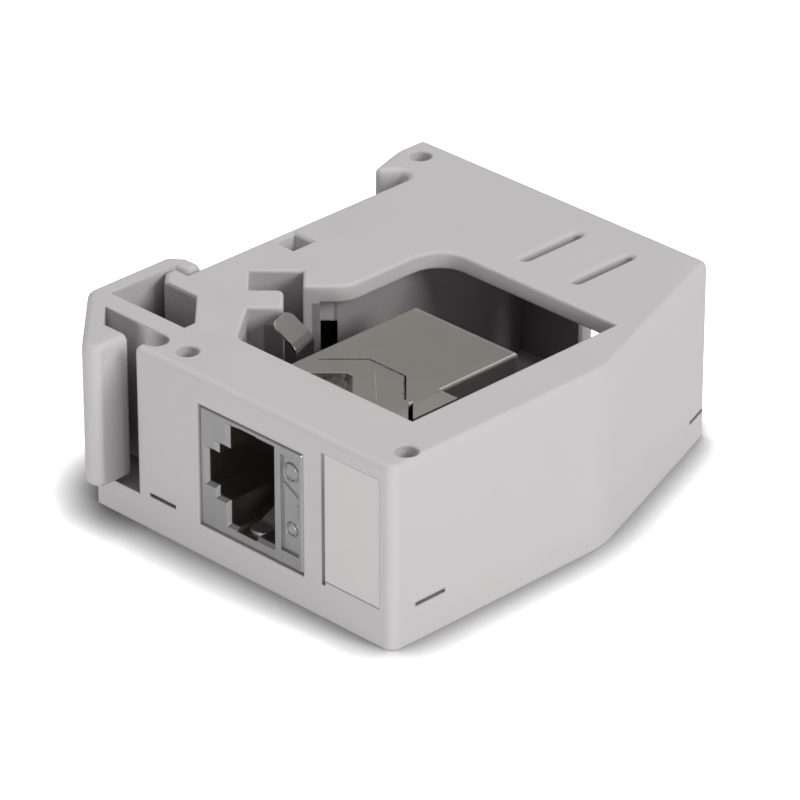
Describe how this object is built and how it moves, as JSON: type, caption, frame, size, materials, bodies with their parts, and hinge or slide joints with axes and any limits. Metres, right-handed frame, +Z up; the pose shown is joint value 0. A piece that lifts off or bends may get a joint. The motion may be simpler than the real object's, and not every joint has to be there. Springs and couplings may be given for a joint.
{
  "type": "DIN rail RJ45 inline coupler",
  "caption": "Moulded 35 mm rail housing with a spring foot that holds a shielded metal RJ45 inline coupler, seen through a large side window; lies on its flat side.",
  "frame": {"origin": "centre of the bounding box, on the surface that the part lies on", "axes": "+X towards the front panel, +Y along the rail away from the port, +Z up, across the module's width"},
  "size_m": [0.0552, 0.0638, 0.0222],
  "materials": {
    "grey_plastic": "satin moulded",
    "grey_plastic_cover": "satin moulded",
    "label_plastic": "smooth satin",
    "nickel_front": "nickel-plated zinc die casting",
    "nickel_rear": "nickel-plated zinc die casting",
    "spring_steel": "rolled",
    "board": "solder mask",
    "carrier_plastic": "moulded",
    "shield_spring": "bright",
    "contact_gold": "gold plated"
  },
  "bodies": {
    "root": {"housing": "grey_plastic", "side_cover": "grey_plastic_cover", "label_plate": "label_plastic", "front_shell": "nickel_front", "rear_shell": "nickel_rear", "latch_spring": "spring_steel", "circuit_board": "board", "front_carrier": "carrier_plastic", "rear_carrier": "carrier_plastic", "front_shield_spring_top": "shield_spring", "front_shield_spring_bottom": "shield_spring", "rear_shield_spring_top": "shield_spring", "rear_shield_spring_bottom": "shield_spring", "front_contact_1": "contact_gold", "rear_contact_1": "contact_gold", "front_contact_2": "contact_gold", "rear_contact_2": "contact_gold", "front_contact_3": "contact_gold", "rear_contact_3": "contact_gold", "front_contact_4": "contact_gold", "rear_contact_4": "contact_gold", "front_contact_5": "contact_gold", "rear_contact_5": "contact_gold", "front_contact_6": "contact_gold", "rear_contact_6": "contact_gold", "front_contact_7": "contact_gold", "rear_contact_7": "contact_gold", "front_contact_8": "contact_gold", "rear_contact_8": "contact_gold"}
  },
  "joints": []
}
